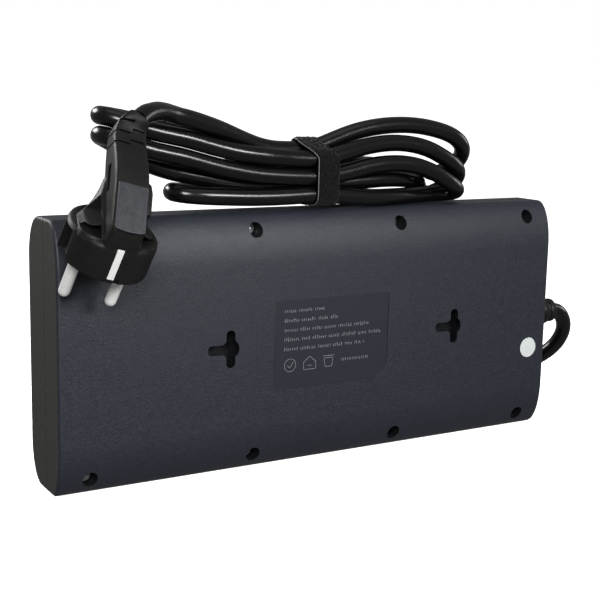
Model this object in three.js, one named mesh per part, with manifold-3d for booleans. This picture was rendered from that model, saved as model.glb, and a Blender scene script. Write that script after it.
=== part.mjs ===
// A six-socket power strip with two rows of earthed sockets, a rocker switch and three USB ports.
// It stands on its long lower edge: +X is the length, +Y the back face, +Z up.
// The flexible cord leaves the -X end, is tied in a hank on the upper edge and ends in an angled plug.
// Units are millimetres. The origin is the middle of the lower edge.
import * as THREE from 'three';
import { mergeVertices } from 'three/addons/utils/BufferGeometryUtils.js';
import Module from 'manifold-3d';

const wasm = await Module();
wasm.setup();

// ---------- driving dimensions ----------
const LENGTH = 257;
const HEIGHT = 115;
const BACK_Y = 19.5;
const FRONT_Y = -16;
const RIM_Y = -19.7;
const SPLIT_Y = 3.3;
const SPLIT_GAP = 0.3;
const WALL = 2.2;
const CLEAR = 0.3;
// The long edges are quarter ellipses, given as depth and height.
const BACK_EDGE = { depth: 9.5, height: 22 };
const FRONT_EDGE = { depth: 11.5, height: 18.5 };
const EDGE_STEPS = 7;

// Case screws: four columns on two rows.
const SCREW_COLUMNS = [-114.5, -38.1, 38.1, 114.5];
const SCREW_ROWS = [7.2, 107.8];
const SCREW_BORE_R = 3.3;
const SCREW_TOWER_R = 4.8;
const SCREW_SHOULDER_Y = 7.2;
const SCREW_HEAD_R = 2.7;
const SCREW_HEAD = 2.4;
const SCREW_SHANK_R = 1.3;
const SCREW_TIP_Y = -6.5;
const BOSS_R = 3.4;

// Keyholes for wall screws.
const KEYHOLES = [{ x: 51, z: 56.8 }, { x: -70, z: 56.8 }];
const KEY_ROUND_R = 4.1;
const KEY_SLOT = 4.3;
const KEY_UP = 8.3;
const KEY_SIDE = 11;
const POCKET = { halfX: 12.7, halfZ: 10, floorY: 11.3, wall: 1.1 };

// The sunk field for the rating marks, with one corner cut off.
const LABEL = { x0: -31.2, x1: 29.6, z0: 35.8, z1: 76, cut: 7.5, depth: 0.3 };
const STICKER = { x: -117.6, z: 41.7, r: 5, thick: 0.2 };

// Sockets: two rows of three.
const SOCKET_COLUMNS = [98, 41, -16];
const SOCKET_ROWS = [81.5, 33.5];
const WELL_R = 19.5;
const CUP_R = 21.5;
const FLANGE_R = 23;
const WELL_FLOOR_Y = -2.2;
const PIN_PITCH = 19;
const PIN_HOLE_R = 3;
const ROUND_STEPS = 24;
const SHUTTER = { half: 3.5, length: 26.6, tip: 0.35, ramp: 3, back: 3.9 };

// Contact bars behind the sockets.
const BAR = { thick: 0.8, y0: 5, y1: 13.6, leaf: 2.7, jaw: 4 };
const EARTH = { y: 10, halfZ: 3, x: 19.9 };

// Switch.
const SWITCH = { x: -92, z: 84, halfX: 11, halfZ: 15.1, backY: 8, pivotY: -10.94, tilt: 8 };
const ROCKER_HALF_X = 8.45;

// USB board and ports.
const BOARD = { x0: -112, x1: -70, z0: 12, z1: 45.5, y0: 1, thick: 1.6 };
const USB_X = -92;
const USB_ROWS = [20, 30, 40];

// Cord.
const CORD_D = 7.8;
const GLAND = { z: 56, r: 6.8, tipR: 5.2, tipX: -147 };
const HANK = { y0: -14, y1: 15.4, x0: -4.8, x1: 6.8 };
const TIE = { y0: -10.2, y1: 17, z0: 115.4, z1: 147.4, thick: 1.6 };

// Plug: local Z points back from its face, X runs along the pins' line and Y leans towards the strip.
const PLUG_FACE = new THREE.Vector3(115.9, 35.7, 101.8);
const PLUG_BACK = new THREE.Vector3(-0.1979, 0.4146, 0.8883);
const PLUG_ACROSS = new THREE.Vector3(-0.9602, 0.1002, -0.2607);
const PLUG_LEAN = 52;
const HEAD_R = 18;
const HEAD_DEPTH = 15;
const ARM = 40;
// The arm lies between these two distances, measured square to its length, and narrows to one at its end.
const ARM_FRONT = 29;
const ARM_BACK = 16.6;
const ARM_END = 17.3;

// ---------- materials ----------
const paint = (color, roughness, metalness = 0) =>
  new THREE.MeshStandardMaterial({ color, roughness, metalness });
const SHELL = paint(0x2b2e36, 0.6);
const DARK = paint(0x17181a, 0.5);
const INSERT = paint(0x1c1d20, 0.45);
const SHUTTER_PLASTIC = paint(0x8f9296, 0.5);
const BRASS = paint(0xb08d4a, 0.35, 1);
const STEEL = paint(0xb9bbbd, 0.35, 1);
const BOARD_GREEN = paint(0x1f4a2c, 0.6);
const COIL_YELLOW = paint(0xc9a23a, 0.6);
const ROCKER_RED = paint(0xa3161a, 0.3);
const CORD_BLACK = paint(0x0c0c0d, 0.25);
const PANEL_GREY = paint(0x55575d, 0.7);
const NICKEL = paint(0xd9d9d6, 0.3, 1);
const TIE_BLACK = paint(0x101113, 0.95);
const PAPER = paint(0xc9cdc9, 0.7);
const LEAD_BROWN = paint(0x5a3420, 0.5);
const LEAD_BLUE = paint(0x27489c, 0.5);
const LEAD_GREEN = paint(0x8ea62c, 0.5);

// ---------- solids ----------
function solid(geometry) {
  const bare = geometry.clone();
  bare.deleteAttribute('normal');
  bare.deleteAttribute('uv');
  const merged = mergeVertices(bare, 1e-4);
  return new wasm.Manifold(new wasm.Mesh({
    numProp: 3,
    vertProperties: new Float32Array(merged.attributes.position.array),
    triVerts: new Uint32Array(merged.index.array),
  }));
}

function geometryOf(piece) {
  const mesh = piece.getMesh();
  const geometry = new THREE.BufferGeometry();
  geometry.setAttribute('position', new THREE.BufferAttribute(mesh.vertProperties, 3));
  geometry.setIndex(new THREE.BufferAttribute(mesh.triVerts, 1));
  return geometry;
}

const join = (...pieces) => pieces.reduce((a, b) => a.add(b));
const cut = (piece, ...tools) => tools.reduce((a, b) => a.subtract(b), piece);

function box(x0, x1, y0, y1, z0, z1) {
  const geometry = new THREE.BoxGeometry(x1 - x0, y1 - y0, z1 - z0);
  geometry.translate((x0 + x1) / 2, (y0 + y1) / 2, (z0 + z1) / 2);
  return solid(geometry);
}

function rodY(r, y0, y1, x, z, steps = 16) {
  const geometry = new THREE.CylinderGeometry(r, r, y1 - y0, steps);
  geometry.translate(x, (y0 + y1) / 2, z);
  return solid(geometry);
}

function rodX(r, x0, x1, y, z, steps = 12) {
  const geometry = new THREE.CylinderGeometry(r, r, x1 - x0, steps);
  geometry.rotateZ(Math.PI / 2);
  geometry.translate((x0 + x1) / 2, y, z);
  return solid(geometry);
}

function outline(points) {
  return new THREE.Shape(points.map(([a, b]) => new THREE.Vector2(a, b)));
}

// The local axes of an extrusion go to world axes in turn, so that the solid stays right-handed.
const ALONG_X = new THREE.Matrix4().set(0, 0, 1, 0, 1, 0, 0, 0, 0, 1, 0, 0, 0, 0, 0, 1);
const ALONG_Y = new THREE.Matrix4().set(0, 1, 0, 0, 0, 0, 1, 0, 1, 0, 0, 0, 0, 0, 0, 1);

function prism(points, from, to, frame) {
  const geometry = new THREE.ExtrudeGeometry(outline(points), { depth: to - from, bevelEnabled: false });
  geometry.translate(0, 0, from);
  if (frame) geometry.applyMatrix4(frame);
  return solid(geometry);
}
const prismX = (pointsYZ, x0, x1) => prism(pointsYZ, x0, x1, ALONG_X);
const prismY = (pointsZX, y0, y1) => prism(pointsZX, y0, y1, ALONG_Y);
const prismZ = (pointsXY, z0, z1) => prism(pointsXY, z0, z1, null);

// A turned solid about a line along Y or X; the profile lists [radius, position on the line].
function turned(profile, steps) {
  return new THREE.LatheGeometry(profile.map(([r, t]) => new THREE.Vector2(r, t)), steps);
}
function turnedY(profile, x, z, steps = ROUND_STEPS) {
  const geometry = turned(profile, steps);
  geometry.translate(x, 0, z);
  return solid(geometry);
}
function turnedX(profile, y, z, steps = 16) {
  const geometry = turned(profile, steps);
  geometry.rotateZ(-Math.PI / 2);
  geometry.translate(0, y, z);
  return solid(geometry);
}

// A round tube through the given points.
function tube(points, diameter, sides, steps) {
  const ring = Array.from({ length: sides }, (_, i) => {
    const a = (2 * Math.PI * i) / sides;
    return [Math.cos(a) * diameter / 2, Math.sin(a) * diameter / 2];
  });
  const path = new THREE.CatmullRomCurve3(points.map((p) => new THREE.Vector3(...p)), false, 'centripetal');
  return new THREE.ExtrudeGeometry(outline(ring), { steps, bevelEnabled: false, extrudePath: path });
}

// ---------- scene graph ----------
const strip = new THREE.Group();

function addGeometry(name, geometry, material, parent = strip) {
  const mesh = new THREE.Mesh(geometry, material);
  mesh.name = name;
  parent.add(mesh);
  return mesh;
}
const add = (name, piece, material, parent) => addGeometry(name, geometryOf(piece), material, parent);

// ---------- case ----------
// The cross-section, shrunk inwards by inset: a quarter ellipse at each long edge.
function crossSection(inset) {
  const corners = [
    { edge: BACK_EDGE, y: BACK_Y, z: HEIGHT, from: 0 },
    { edge: FRONT_EDGE, y: FRONT_Y, z: HEIGHT, from: 1 },
    { edge: FRONT_EDGE, y: FRONT_Y, z: 0, from: 2 },
    { edge: BACK_EDGE, y: BACK_Y, z: 0, from: 3 },
  ];
  return corners.flatMap(({ edge, y, z, from }) => {
    const side = Math.sign(y);
    const up = z > 0 ? 1 : -1;
    const centre = [y - side * edge.depth, z - up * edge.height];
    return Array.from({ length: EDGE_STEPS + 1 }, (_, i) => {
      const a = (from + i / EDGE_STEPS) * Math.PI / 2;
      const reach = [(edge.depth - inset) * Math.cos(a), (edge.height - inset) * Math.sin(a)];
      return [centre[0] + reach[0], centre[1] + reach[1]];
    });
  });
}

const block = prismX(crossSection(0), -LENGTH / 2, LENGTH / 2);
const hollow = prismX(crossSection(WALL), -LENGTH / 2 + WALL, LENGTH / 2 - WALL);
const backHalf = box(-LENGTH, LENGTH, SPLIT_Y + SPLIT_GAP / 2, 60, -20, 140);
const frontHalf = box(-LENGTH, LENGTH, -60, SPLIT_Y - SPLIT_GAP / 2, -20, 140);
const glandHole = rodX(GLAND.r + CLEAR - 0.6, -LENGTH / 2 - 5, -LENGTH / 2 + 5, SPLIT_Y, GLAND.z, 20);
const screwPlaces = SCREW_ROWS.flatMap((z) => SCREW_COLUMNS.map((x) => ({ x, z })));

function keyhole({ x, z }) {
  const y0 = BACK_Y - WALL - 1;
  const y1 = BACK_Y + 2;
  return join(
    rodY(KEY_ROUND_R, y0, y1, x, z, 24),
    box(x - KEY_SLOT / 2, x + KEY_SLOT / 2, y0, y1, z - KEY_UP, z + KEY_UP),
    box(x, x + KEY_SIDE, y0, y1, z - KEY_SLOT / 2, z + KEY_SLOT / 2),
  );
}

function rearCover() {
  const towers = screwPlaces.map(({ x, z }) =>
    rodY(SCREW_TOWER_R, SPLIT_Y + SPLIT_GAP / 2, BACK_Y, x, z).intersect(block));
  const pockets = KEYHOLES.map(({ x, z }) =>
    box(x - POCKET.halfX, x + POCKET.halfX, POCKET.floorY, BACK_Y - WALL + 0.2,
      z - POCKET.halfZ, z + POCKET.halfZ));
  const ribs = [12.5, 69.5, -46].map((x) => box(x - 0.8, x + 0.8, 14.4, BACK_Y - WALL + 0.2, 16, 99));
  const bores = screwPlaces.map(({ x, z }) => rodY(SCREW_BORE_R, SCREW_SHOULDER_Y, BACK_Y + 5, x, z, 20));
  const shanks = screwPlaces.map(({ x, z }) =>
    rodY(SCREW_SHANK_R + CLEAR, 0, SCREW_SHOULDER_Y + 1, x, z, 12));
  const pocketHollows = KEYHOLES.map(({ x, z }) => box(
    x - POCKET.halfX + POCKET.wall, x + POCKET.halfX - POCKET.wall,
    POCKET.floorY + POCKET.wall, BACK_Y - WALL,
    z - POCKET.halfZ + POCKET.wall, z + POCKET.halfZ - POCKET.wall,
  ));
  const { x0, x1, z0, z1, cut: corner, depth } = LABEL;
  const fieldOutline = [[z0, x0 + corner], [z0, x1], [z1, x1], [z1, x0], [z0 + corner, x0]];
  const field = prismY(fieldOutline, BACK_Y - depth, BACK_Y + 1);
  const shell = join(cut(block.intersect(backHalf), hollow), ...towers, ...pockets, ...ribs);
  return cut(shell, ...bores, ...shanks, ...pocketHollows, ...KEYHOLES.map(keyhole), glandHole, field);
}

function frontCover() {
  const bosses = screwPlaces.map(({ x, z }) =>
    rodY(BOSS_R, FRONT_Y, SPLIT_Y - SPLIT_GAP / 2, x, z).intersect(block));
  const pilots = screwPlaces.map(({ x, z }) =>
    rodY(SCREW_SHANK_R + CLEAR, SCREW_TIP_Y - 2, SPLIT_Y + 1, x, z, 12));
  const wells = SOCKET_ROWS.flatMap((z) => SOCKET_COLUMNS.map((x) =>
    rodY(CUP_R + CLEAR, FRONT_Y - 3, FRONT_Y + 5, x, z, ROUND_STEPS)));
  const window = box(
    SWITCH.x - SWITCH.halfX - CLEAR, SWITCH.x + SWITCH.halfX + CLEAR, FRONT_Y - 3, FRONT_Y + 5,
    SWITCH.z - SWITCH.halfZ - CLEAR, SWITCH.z + SWITCH.halfZ + CLEAR,
  );
  const ports = USB_ROWS.map((z) =>
    box(USB_X - 6.9, USB_X + 6.9, FRONT_Y - 3, FRONT_Y + 5, z - 3.2, z + 3.2));
  const shell = join(cut(block.intersect(frontHalf), hollow), ...bosses);
  return cut(shell, ...pilots, ...wells, window, ...ports, glandHole);
}

function caseScrew({ x, z }) {
  const headY = SCREW_SHOULDER_Y + CLEAR;
  const top = headY + SCREW_HEAD;
  const body = join(
    rodY(SCREW_HEAD_R, headY, top, x, z, 16),
    rodY(SCREW_SHANK_R, SCREW_TIP_Y, headY + 0.5, x, z, 10),
  );
  const cross = [box(x - 1.6, x + 1.6, top - 1.1, top + 1, z - 0.35, z + 0.35),
    box(x - 0.35, x + 0.35, top - 1.1, top + 1, z - 1.6, z + 1.6)];
  return cut(body, ...cross);
}

add('rear_cover', rearCover(), SHELL);
add('front_cover', frontCover(), SHELL);
screwPlaces.forEach((place, i) => add(`case_screw_${i + 1}`, caseScrew(place), STEEL));
add('inspection_sticker',
  rodY(STICKER.r, BACK_Y, BACK_Y + STICKER.thick, STICKER.x, STICKER.z, 24), PAPER);

// ---------- sockets ----------
function socketInsert(x, z) {
  const cup = turnedY([
    [0, 0], [0, WELL_FLOOR_Y], [WELL_R, WELL_FLOOR_Y], [WELL_R, RIM_Y + 0.8], [WELL_R + 0.8, RIM_Y],
    [FLANGE_R - 0.8, RIM_Y], [FLANGE_R, RIM_Y + 0.8], [FLANGE_R, FRONT_Y - 0.05], [CUP_R, FRONT_Y - 0.05],
    [CUP_R, 0], [0, 0],
  ], x, z);
  const guides = [-1, 1].map((s) => {
    const z0 = z + s * 18.7;
    return box(x - 2.7, x + 2.7, RIM_Y + 1.5, WELL_FLOOR_Y + 0.2, z0 - 1.5, z0 + 1.5);
  });
  const rails = [-1, 1].map((s) => {
    const z0 = z + s * (SHUTTER.length / 2 + 1.1);
    return box(x - 12.2, x + 5.4, -0.5, 4.2, z0 - 0.7, z0 + 0.7);
  });
  const stops = [
    box(x + 3.9, x + 5.4, -0.5, 4.2, z - 15, z + 15),
    box(x - 12.2, x - 10.9, -0.5, 4.2, z - 15, z + 15),
  ];
  const holes = [-1, 1].map((s) => rodY(PIN_HOLE_R, -5, 0.2, x, z + s * PIN_PITCH / 2, 16));
  const slots = [-1, 1].map((s) => {
    const xs = x + s * 20.3;
    return box(xs - 1.8, xs + 1.8, RIM_Y + 4.2, 1, z - EARTH.halfZ - 0.6, z + EARTH.halfZ + 0.6);
  });
  return cut(join(cup, ...guides, ...rails, ...stops), ...holes, ...slots);
}

// A wedge across both pin holes. The pins push on its slope and it slides towards -X.
function shutter(x, z) {
  const { half, length, tip, ramp, back } = SHUTTER;
  const wedge = [[x - half, tip], [x + half, ramp], [x + half, back], [x - half, back]];
  return prismZ(wedge, z - length / 2, z + length / 2);
}

let socketNumber = 0;
for (const z of SOCKET_ROWS) {
  for (const x of SOCKET_COLUMNS) {
    socketNumber += 1;
    add(`socket_insert_${socketNumber}`, socketInsert(x, z), INSERT);
    add(`socket_shutter_${socketNumber}`, shutter(x, z), SHUTTER_PLASTIC);
  }
}

// ---------- contact bars ----------
// A strip beside one row of pins, with a U-shaped jaw at every pin.
function contactBar(z, side) {
  const far = BAR.leaf + BAR.thick;
  const zPin = z + side * PIN_PITCH / 2;
  const span = (a, b) => [Math.min(a, b), Math.max(a, b)];
  const first = Math.min(...SOCKET_COLUMNS) - BAR.jaw - 16;
  const last = Math.max(...SOCKET_COLUMNS) + BAR.jaw + BAR.thick;
  const rail = box(first, last, BAR.y0, BAR.y1, ...span(zPin + side * BAR.leaf, zPin + side * far));
  const jaws = SOCKET_COLUMNS.flatMap((x) => [
    box(x + BAR.jaw, x + BAR.jaw + BAR.thick, BAR.y0, BAR.y1, zPin - far, zPin + far),
    box(x - BAR.jaw, x + BAR.jaw + BAR.thick, BAR.y0, BAR.y1,
      ...span(zPin - side * far, zPin - side * BAR.leaf)),
  ]);
  return join(rail, ...jaws);
}

// A strip along the row's middle, with two sprung tabs that rise in each socket.
function earthBar(z) {
  const reach = EARTH.x + BAR.thick;
  const first = Math.min(...SOCKET_COLUMNS) - reach - 3;
  const last = Math.max(...SOCKET_COLUMNS) + reach;
  const rail = box(first, last, EARTH.y, EARTH.y + BAR.thick, z - EARTH.halfZ, z + EARTH.halfZ);
  const tabs = SOCKET_COLUMNS.flatMap((x) => [-1, 1].map((s) => {
    const points = [[19.9, 10.4], [19.9, -8.8], [18.1, -11.6], [19.1, -14.2], [19.9, -13.9], [19, -11.6],
      [20.7, -9], [20.7, 10.4]].map(([px, py]) => [x + s * px, py]);
    return prismZ(points, z - EARTH.halfZ, z + EARTH.halfZ);
  }));
  return join(rail, ...tabs);
}

SOCKET_ROWS.forEach((z, i) => {
  const row = i === 0 ? 'upper' : 'lower';
  add(`live_bar_${row}`, contactBar(z, 1), BRASS);
  add(`neutral_bar_${row}`, contactBar(z, -1), BRASS);
  add(`earth_bar_${row}`, earthBar(z), BRASS);
});

// ---------- switch ----------
function switchHousing() {
  const { x, z, halfX, halfZ, backY, pivotY } = SWITCH;
  const body = join(
    box(x - halfX, x + halfX, FRONT_Y - 0.5, backY, z - halfZ, z + halfZ),
    box(x - halfX - 1.7, x + halfX + 1.7, FRONT_Y - 1.4, FRONT_Y - 0.05, z - halfZ - 1.2, z + halfZ + 1.2),
  );
  const mouth = box(x - ROCKER_HALF_X - 0.35, x + ROCKER_HALF_X + 0.35, FRONT_Y - 3, -6, z - 13.5, z + 13.5);
  const bearings = rodX(1.8, x - ROCKER_HALF_X - 1.7, x + ROCKER_HALF_X + 1.7, pivotY, z);
  return cut(body, mouth, bearings);
}

// The rocker's face is a shallow V; it rests with its lower half pressed in.
function rocker() {
  const { x, z, pivotY, tilt } = SWITCH;
  const turn = THREE.MathUtils.degToRad(tilt);
  const rise = 4.5 + 12.4 * Math.tan(turn);
  const section = [[-rise, -12.4], [-4.5, 0], [-rise, 12.4], [0, 12], [3.4, 6], [3.4, -6], [0, -12]];
  const options = { depth: 2 * ROCKER_HALF_X, bevelEnabled: false };
  const body = new THREE.ExtrudeGeometry(outline(section), options);
  body.translate(0, 0, -ROCKER_HALF_X);
  body.applyMatrix4(ALONG_X);
  body.rotateX(turn);
  body.translate(x, pivotY, z);
  const trunnions = rodX(1.5, x - ROCKER_HALF_X - 1.3, x + ROCKER_HALF_X + 1.3, pivotY, z);
  return solid(body).add(trunnions);
}

add('switch_housing', switchHousing(), DARK);
add('switch_rocker', rocker(), ROCKER_RED);

// ---------- USB supply ----------
function usbPort(z) {
  const shell = box(USB_X - 6.6, USB_X + 6.6, FRONT_Y + 0.1, BOARD.y0 - CLEAR, z - 2.9, z + 2.9);
  const mouth = box(USB_X - 6, USB_X + 6, FRONT_Y - 1, -4, z - 2.3, z + 2.3);
  const tongue = box(USB_X - 5.5, USB_X + 5.5, FRONT_Y + 1.2, -3.5, z + 0.3, z + 1.9);
  return join(cut(shell, mouth), tongue);
}

const boardBack = BOARD.y0 + BOARD.thick;
add('usb_board', box(BOARD.x0, BOARD.x1, BOARD.y0, boardBack, BOARD.z0, BOARD.z1), BOARD_GREEN);
USB_ROWS.forEach((z, i) => add(`usb_port_${i + 1}`, usbPort(z), STEEL));
add('usb_transformer', box(-108, -93, boardBack + CLEAR, 14.5, 17, 32), COIL_YELLOW);
[[-82, 19], [-82, 31]].forEach(([x, z], i) =>
  add(`usb_capacitor_${i + 1}`, rodY(4, boardBack + CLEAR, 14.5, x, z, 16), DARK));

// ---------- cord entry ----------
const END_X = -LENGTH / 2;
const FLANGE_X = END_X + WALL + CLEAR;

// A moulded bush with a collar on each side of the wall and three ribs outside.
function cordGrommet() {
  const neck = GLAND.r - 0.6;
  const out = END_X - CLEAR;
  return turnedX([
    [0, GLAND.tipX], [GLAND.tipR, GLAND.tipX], [GLAND.tipR + 0.6, GLAND.tipX + 2.5],
    [GLAND.tipR, GLAND.tipX + 4.5], [GLAND.r - 0.6, GLAND.tipX + 5.5], [GLAND.r - 0.6, GLAND.tipX + 9.5],
    [GLAND.tipR, GLAND.tipX + 10.5], [GLAND.r, GLAND.tipX + 12], [GLAND.r, out - 4.5],
    [GLAND.r + 1.2, out - 3], [GLAND.r + 1.2, out], [neck, out], [neck, FLANGE_X],
    [GLAND.r + 1.4, FLANGE_X], [GLAND.r + 1.4, FLANGE_X + 2], [0, FLANGE_X + 2],
  ], SPLIT_Y, GLAND.z);
}

// Inside, a bar held by two screws presses on the jacket.
const CLAMP = { x0: -119, x1: -113, y0: SPLIT_Y + 1.2, y1: 11 };
function cordClamp() {
  const bar = box(CLAMP.x0, CLAMP.x1, CLAMP.y0, CLAMP.y1, GLAND.z - 12, GLAND.z + 12);
  const groove = rodX(CORD_D / 2 + CLEAR, CLAMP.x0 - 1, CLAMP.x1 + 1, SPLIT_Y, GLAND.z, 16);
  const holes = [-9, 9].map((dz) => rodY(1.6, CLAMP.y0 - 1, CLAMP.y1 + 1, -116, GLAND.z + dz, 12));
  return cut(bar, groove, ...holes);
}
function clampScrew(dz) {
  return join(
    rodY(2.5, CLAMP.y1 + CLEAR, CLAMP.y1 + 2.2, -116, GLAND.z + dz, 14),
    rodY(1.3, -4, CLAMP.y1 + 0.5, -116, GLAND.z + dz, 10),
  );
}

add('cord_grommet', cordGrommet(), DARK);
add('cord_jacket_end', rodX(CORD_D / 2, FLANGE_X + 2.3, -108, SPLIT_Y, GLAND.z, 14), CORD_BLACK);
add('cord_clamp', cordClamp(), DARK);
[-9, 9].forEach((dz, i) => add(`clamp_screw_${i + 1}`, clampScrew(dz), STEEL));

// Insulated leads from the cord to the contact bars.
const LEAD_D = 2.6;
function lead(name, points, material) {
  addGeometry(name, tube(points, LEAD_D, 8, 14), material);
}
lead('live_lead', [[-107.6, 5.2, 57.5], [-100, 6, 60.5], [-86, 8, 63.5], [-66, 8, 79], [-50, 8.5, 91],
  [-37, 9, 94.1]], LEAD_BROWN);
lead('neutral_lead', [[-107.6, 2.2, 57], [-98, 4.5, 56.8], [-80, 5.5, 57], [-60, 6.5, 63], [-46, 8, 69],
  [-37, 9, 69.1]], LEAD_BLUE);
lead('earth_lead', [[-107.6, 3.4, 53.8], [-98, 6.5, 52.4], [-80, 8.4, 51], [-58, 9, 56], [-50, 10.6, 62],
  [-45, 12.4, 74], [-40.8, 12.4, 81.5]], LEAD_GREEN);

// ---------- cord outside ----------
// The free stretch from the grommet: down past the end, round behind and up the front face to the hank.
const LEAD_ROUTE = [
  [GLAND.tipX - CLEAR, SPLIT_Y, GLAND.z], [GLAND.tipX - 2, SPLIT_Y, GLAND.z],
  [-152.6, 3.1, 54], [-157, 2.2, 49],
  [-158.8, 0, 42], [-156.8, -4.6, 33.5], [-150, -12.2, 25.5], [-139.8, -20.6, 20], [-127.5, -28.5, 17.5],
  [-116.5, -32.6, 21.5], [-109.5, -33, 31.5], [-107.6, -30, 45], [-109, -25.6, 60], [-111.4, -22.6, 76],
  [-112, -21.6, 90], [-108.5, -21, 101], [-100, -20.8, 107], [-89, -20.6, 109], [-80.5, -20.8, 112],
  [-75.6, -19.8, 117.4], [-74, -17.4, 121.8], [-74, -15.8, 122.1], [-74, HANK.y0 - CLEAR, 122.1],
];
// The last stretch, out of the hank's notch and into the tip of the plug's neck.
const NOTCH = { x: 73, y: 9.6, z: 151.3 };
const NECK_TIP = [98.6, 31, 154.9];
const NECK_TIP_WAY = [-0.75, -0.5, 0.43];
const beyondTip = (distance) => NECK_TIP.map((v, i) => v + distance * NECK_TIP_WAY[i]);
const TAIL_ROUTE = [
  [NOTCH.x + CLEAR, 13.8, 155.5], [NOTCH.x + 2, 13.8, 155.5], [80, 17, 156.6], [87.5, 23.2, 157.9],
  beyondTip(4), beyondTip(CLEAR),
];
const CORD_SIDES = 8;

addGeometry('cord_lead', tube(LEAD_ROUTE, CORD_D, CORD_SIDES, 40), CORD_BLACK);
addGeometry('cord_tail', tube(TAIL_ROUTE, CORD_D, CORD_SIDES, 9), CORD_BLACK);

// The hank's outer shape lies along the upper edge, drawn in at the tie.
function hank() {
  const side = [
    [-86, 128.5], [-86, 139], [-81, 148], [-71, 154.5], [-56, 157.5], [-40, 156.5], [-24, 152], [-8, 147.2],
    [14, 147.2], [30, 148], [46, 152.5], [60, 156.5], [74, 156], [76, 156], [96, 158.2], [104, 158.2],
    [109, 154], [109, 147], [104, 143.4], [96, 134], [86, 127.6], [76, 120.5], [66, 116.4],
    [50, 115.3], [-74, 115.3],
    [-80, 119],
  ];
  const body = prismY(side.map(([x, z]) => [z, x]).reverse(), HANK.y0, HANK.y1);
  const band = cut(
    box(HANK.x0 - CLEAR, HANK.x1 + CLEAR, TIE.y0 - 5, TIE.y1 + 5, TIE.z0 - 5, TIE.z1 + 5),
    box(-10, 12, TIE.y0 + TIE.thick + CLEAR, TIE.y1 - TIE.thick - CLEAR,
      TIE.z0 + TIE.thick + CLEAR, TIE.z1 - TIE.thick - CLEAR),
  );
  const notch = box(NOTCH.x, 130, NOTCH.y, 40, NOTCH.z, 180);
  return cut(body, band, notch);
}
function tie() {
  const { y0, y1, z0, z1, thick } = TIE;
  return cut(
    box(HANK.x0, HANK.x1, y0, y1, z0, z1),
    box(HANK.x0 - 1, HANK.x1 + 1, y0 + thick, y1 - thick, z0 + thick, z1 - thick),
  );
}
add('cord_hank', hank(), CORD_BLACK);
add('hank_tie', tie(), TIE_BLACK);

// ---------- plug ----------
const plug = new THREE.Group();
const backAxis = PLUG_BACK.clone().normalize();
const acrossAxis = PLUG_ACROSS.clone().addScaledVector(backAxis, -PLUG_ACROSS.dot(backAxis)).normalize();
const leanAxis = backAxis.clone().cross(acrossAxis);
plug.quaternion.setFromRotationMatrix(new THREE.Matrix4().makeBasis(acrossAxis, leanAxis, backAxis));
plug.position.copy(PLUG_FACE);
strip.add(plug);

const lean = THREE.MathUtils.degToRad(PLUG_LEAN);
// A point at a distance along the leaning arm and off to its side, as [local Y, local Z].
const armPoint = (along, off) => [
  along * Math.sin(lean) - off * Math.cos(lean),
  along * Math.cos(lean) + off * Math.sin(lean),
];

function rodLocalZ(r, z0, z1, x, y, steps) {
  const geometry = new THREE.CylinderGeometry(r, r, z1 - z0, steps);
  geometry.rotateX(Math.PI / 2);
  geometry.translate(x, y, (z0 + z1) / 2);
  return solid(geometry);
}

const STRIP_HALF = 2.2;
function plugBody() {
  const head = rodLocalZ(HEAD_R, 0, HEAD_DEPTH, 0, 0, ROUND_STEPS);
  const arm = prismX([
    [-17.5, HEAD_DEPTH - 1], [8, HEAD_DEPTH - 1], armPoint(17, ARM_BACK - 1), armPoint(27, ARM_BACK - 1.6),
    armPoint(ARM, ARM_END - 4.8), armPoint(ARM, ARM_END + 4.8), armPoint(31, ARM_FRONT - 2.4),
    armPoint(20, ARM_FRONT),
    armPoint(0.5, ARM_FRONT),
  ].reverse(), -6.8, 6.8);
  const flare = prismX([
    [-14, HEAD_DEPTH - 1], [11, HEAD_DEPTH - 1], armPoint(18, ARM_BACK + 1),
    armPoint(12, ARM_FRONT - 4), [-14, 20],
  ].reverse(), -11, 11);
  const notches = [-1, 1].map((s) => box(s * HEAD_R - 2.5, s * HEAD_R + 2.5, -2.8, 2.8, -1, HEAD_DEPTH + 1));
  const recesses = [-1, 1].map((s) => box(-STRIP_HALF - CLEAR, STRIP_HALF + CLEAR,
    s * HEAD_R - 1.8, s * HEAD_R + 1.8, 2, HEAD_DEPTH - 0.2));
  const pinHoles = [-1, 1].map((s) => rodLocalZ(2.4 + CLEAR, -1, 6, s * PIN_PITCH / 2, 0, 16));
  const panelSeat = prismX([
    armPoint(0.2, ARM_FRONT - 0.8), armPoint(20.2, ARM_FRONT - 0.8), armPoint(20.2, 33), armPoint(0.2, 33),
  ], -6.2, 6.2);
  return cut(join(head, arm, flare), ...notches, ...recesses, ...pinHoles, panelSeat);
}

add('plug_body', plugBody(), DARK, plug);
add('plug_grip_panel', prismX([
  armPoint(0.8, ARM_FRONT - 0.5), armPoint(19.6, ARM_FRONT - 0.5), armPoint(19.6, ARM_FRONT + 0.6),
  armPoint(0.8, ARM_FRONT + 0.6),
], -5.9, 5.9), PANEL_GREY, plug);
[-1, 1].forEach((s, i) => {
  add(`plug_pin_${i + 1}`, rodLocalZ(2.4, -19, 5.6, s * PIN_PITCH / 2, 0, 14), NICKEL, plug);
  const y = s * (HEAD_R - 0.9);
  const strip = box(-STRIP_HALF, STRIP_HALF, y - 0.5, y + 0.5, 2.4, HEAD_DEPTH - 0.5);
  add(`plug_earth_strip_${i + 1}`, strip, NICKEL, plug);
});

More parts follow.
